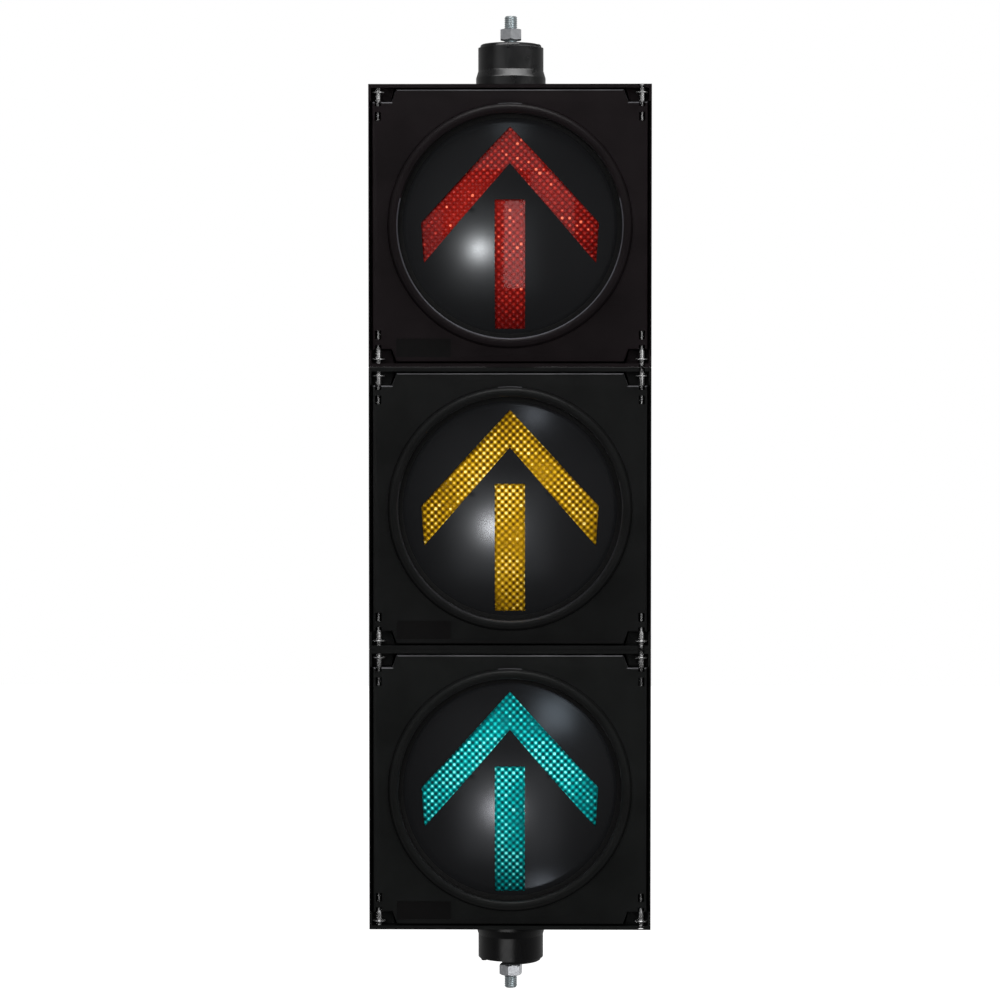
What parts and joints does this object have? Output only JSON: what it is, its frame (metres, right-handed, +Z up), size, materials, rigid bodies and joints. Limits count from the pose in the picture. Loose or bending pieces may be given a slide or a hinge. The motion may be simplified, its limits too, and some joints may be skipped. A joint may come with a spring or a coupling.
{
  "type": "traffic signal head",
  "caption": "Black vertical traffic signal head with red, amber and green straight-ahead arrow lenses behind masks, hinged doors with sprung bolts, and a bracket spigot with a bolt at each end.",
  "frame": {"origin": "on the axis of the two bracket bolts, in the end plane of the lower spigot, where the lower bracket bears", "axes": "+Z up the head, the lenses face -Y, +X is to the right for a driver facing the head"},
  "size_m": [0.253, 0.1596, 0.898],
  "materials": {
    "black_plastic": "satin moulded polycarbonate",
    "mask_black": "satin black mask",
    "rubber": "black foam rubber",
    "red_lens": "prismatic coloured polycarbonate",
    "amber_lens": "prismatic coloured polycarbonate",
    "green_lens": "prismatic coloured polycarbonate",
    "reflector_aluminium": "bright anodised",
    "white_ceramic": "white porcelain",
    "lamp_glass": "clear lamp glass",
    "zinc_steel": "bright zinc plated",
    "nut_steel": "dull zinc plated",
    "lead_sleeve": "heat-resisting sleeve",
    "terminal_plastic": "grey moulded"
  },
  "bodies": {
    "head_body": {"red_housing": "black_plastic", "red_door_gasket": "rubber", "red_reflector": "reflector_aluminium", "red_lamp_holder": "white_ceramic", "red_lamp": "lamp_glass", "amber_housing": "black_plastic", "amber_door_gasket": "rubber", "amber_reflector": "reflector_aluminium", "amber_lamp_holder": "white_ceramic", "amber_lamp": "lamp_glass", "green_housing": "black_plastic", "green_door_gasket": "rubber", "green_reflector": "reflector_aluminium", "green_lamp_holder": "white_ceramic", "green_lamp": "lamp_glass", "upper_spigot": "black_plastic", "upper_spigot_seal": "rubber", "upper_spigot_ring_nut": "zinc_steel", "upper_bracket_bolt": "zinc_steel", "upper_bracket_nut": "nut_steel", "upper_coupling_bush": "black_plastic", "upper_coupling_ring_nut": "zinc_steel", "lower_spigot": "black_plastic", "lower_spigot_seal": "rubber", "lower_spigot_ring_nut": "zinc_steel", "lower_bracket_bolt": "zinc_steel", "lower_bracket_nut": "nut_steel", "lower_coupling_bush": "black_plastic", "lower_coupling_ring_nut": "zinc_steel", "red_lead": "lead_sleeve", "amber_lead": "lead_sleeve", "green_lead": "lead_sleeve", "terminal_block": "terminal_plastic"},
    "red_door_leaf": {"red_door": "black_plastic", "red_lens": "red_lens", "red_arrow_mask": "mask_black", "red_lens_gasket": "rubber", "red_lens_clamp_ring": "black_plastic"},
    "red_upper_left_bolt": {"red_bolt_upper_left": "zinc_steel"},
    "red_upper_right_bolt": {"red_bolt_upper_right": "zinc_steel"},
    "red_lower_left_bolt": {"red_bolt_lower_left": "zinc_steel"},
    "red_lower_right_bolt": {"red_bolt_lower_right": "zinc_steel"},
    "amber_door_leaf": {"amber_door": "black_plastic", "amber_lens": "amber_lens", "amber_arrow_mask": "mask_black", "amber_lens_gasket": "rubber", "amber_lens_clamp_ring": "black_plastic"},
    "amber_upper_left_bolt": {"amber_bolt_upper_left": "zinc_steel"},
    "amber_upper_right_bolt": {"amber_bolt_upper_right": "zinc_steel"},
    "amber_lower_left_bolt": {"amber_bolt_lower_left": "zinc_steel"},
    "amber_lower_right_bolt": {"amber_bolt_lower_right": "zinc_steel"},
    "green_door_leaf": {"green_door": "black_plastic", "green_lens": "green_lens", "green_arrow_mask": "mask_black", "green_lens_gasket": "rubber", "green_lens_clamp_ring": "black_plastic"},
    "green_upper_left_bolt": {"green_bolt_upper_left": "zinc_steel"},
    "green_upper_right_bolt": {"green_bolt_upper_right": "zinc_steel"},
    "green_lower_left_bolt": {"green_bolt_lower_left": "zinc_steel"},
    "green_lower_right_bolt": {"green_bolt_lower_right": "zinc_steel"}
  },
  "joints": [
    {"name": "red_door_hinge", "type": "hinge", "parent": "head_body", "child": "red_door_leaf", "pos_m": [-0.118, -0.081, 0.676], "axis": [0, 0, -1], "range_deg": [0, 110]},
    {"name": "red_bolt_upper_left_slide", "type": "slide", "parent": "red_door_leaf", "child": "red_upper_left_bolt", "axis": [0, 0, -1], "range_m": [0, 0.0032], "stiffness_N_per_m": 800, "springref_m": -0.002},
    {"name": "red_bolt_upper_right_slide", "type": "slide", "parent": "red_door_leaf", "child": "red_upper_right_bolt", "axis": [0, 0, -1], "range_m": [0, 0.0032], "stiffness_N_per_m": 800, "springref_m": -0.002},
    {"name": "red_bolt_lower_left_slide", "type": "slide", "parent": "red_door_leaf", "child": "red_lower_left_bolt", "axis": [0, 0, 1], "range_m": [0, 0.0032], "stiffness_N_per_m": 800, "springref_m": -0.002},
    {"name": "red_bolt_lower_right_slide", "type": "slide", "parent": "red_door_leaf", "child": "red_lower_right_bolt", "axis": [0, 0, 1], "range_m": [0, 0.0032], "stiffness_N_per_m": 800, "springref_m": -0.002},
    {"name": "amber_door_hinge", "type": "hinge", "parent": "head_body", "child": "amber_door_leaf", "pos_m": [-0.118, -0.081, 0.423], "axis": [0, 0, -1], "range_deg": [0, 110]},
    {"name": "amber_bolt_upper_left_slide", "type": "slide", "parent": "amber_door_leaf", "child": "amber_upper_left_bolt", "axis": [0, 0, -1], "range_m": [0, 0.0032], "stiffness_N_per_m": 800, "springref_m": -0.002},
    {"name": "amber_bolt_upper_right_slide", "type": "slide", "parent": "amber_door_leaf", "child": "amber_upper_right_bolt", "axis": [0, 0, -1], "range_m": [0, 0.0032], "stiffness_N_per_m": 800, "springref_m": -0.002},
    {"name": "amber_bolt_lower_left_slide", "type": "slide", "parent": "amber_door_leaf", "child": "amber_lower_left_bolt", "axis": [0, 0, 1], "range_m": [0, 0.0032], "stiffness_N_per_m": 800, "springref_m": -0.002},
    {"name": "amber_bolt_lower_right_slide", "type": "slide", "parent": "amber_door_leaf", "child": "amber_lower_right_bolt", "axis": [0, 0, 1], "range_m": [0, 0.0032], "stiffness_N_per_m": 800, "springref_m": -0.002},
    {"name": "green_door_hinge", "type": "hinge", "parent": "head_body", "child": "green_door_leaf", "pos_m": [-0.118, -0.081, 0.17], "axis": [0, 0, -1], "range_deg": [0, 110]},
    {"name": "green_bolt_upper_left_slide", "type": "slide", "parent": "green_door_leaf", "child": "green_upper_left_bolt", "axis": [0, 0, -1], "range_m": [0, 0.0032], "stiffness_N_per_m": 800, "springref_m": -0.002},
    {"name": "green_bolt_upper_right_slide", "type": "slide", "parent": "green_door_leaf", "child": "green_upper_right_bolt", "axis": [0, 0, -1], "range_m": [0, 0.0032], "stiffness_N_per_m": 800, "springref_m": -0.002},
    {"name": "green_bolt_lower_left_slide", "type": "slide", "parent": "green_door_leaf", "child": "green_lower_left_bolt", "axis": [0, 0, 1], "range_m": [0, 0.0032], "stiffness_N_per_m": 800, "springref_m": -0.002},
    {"name": "green_bolt_lower_right_slide", "type": "slide", "parent": "green_door_leaf", "child": "green_lower_right_bolt", "axis": [0, 0, 1], "range_m": [0, 0.0032], "stiffness_N_per_m": 800, "springref_m": -0.002}
  ]
}
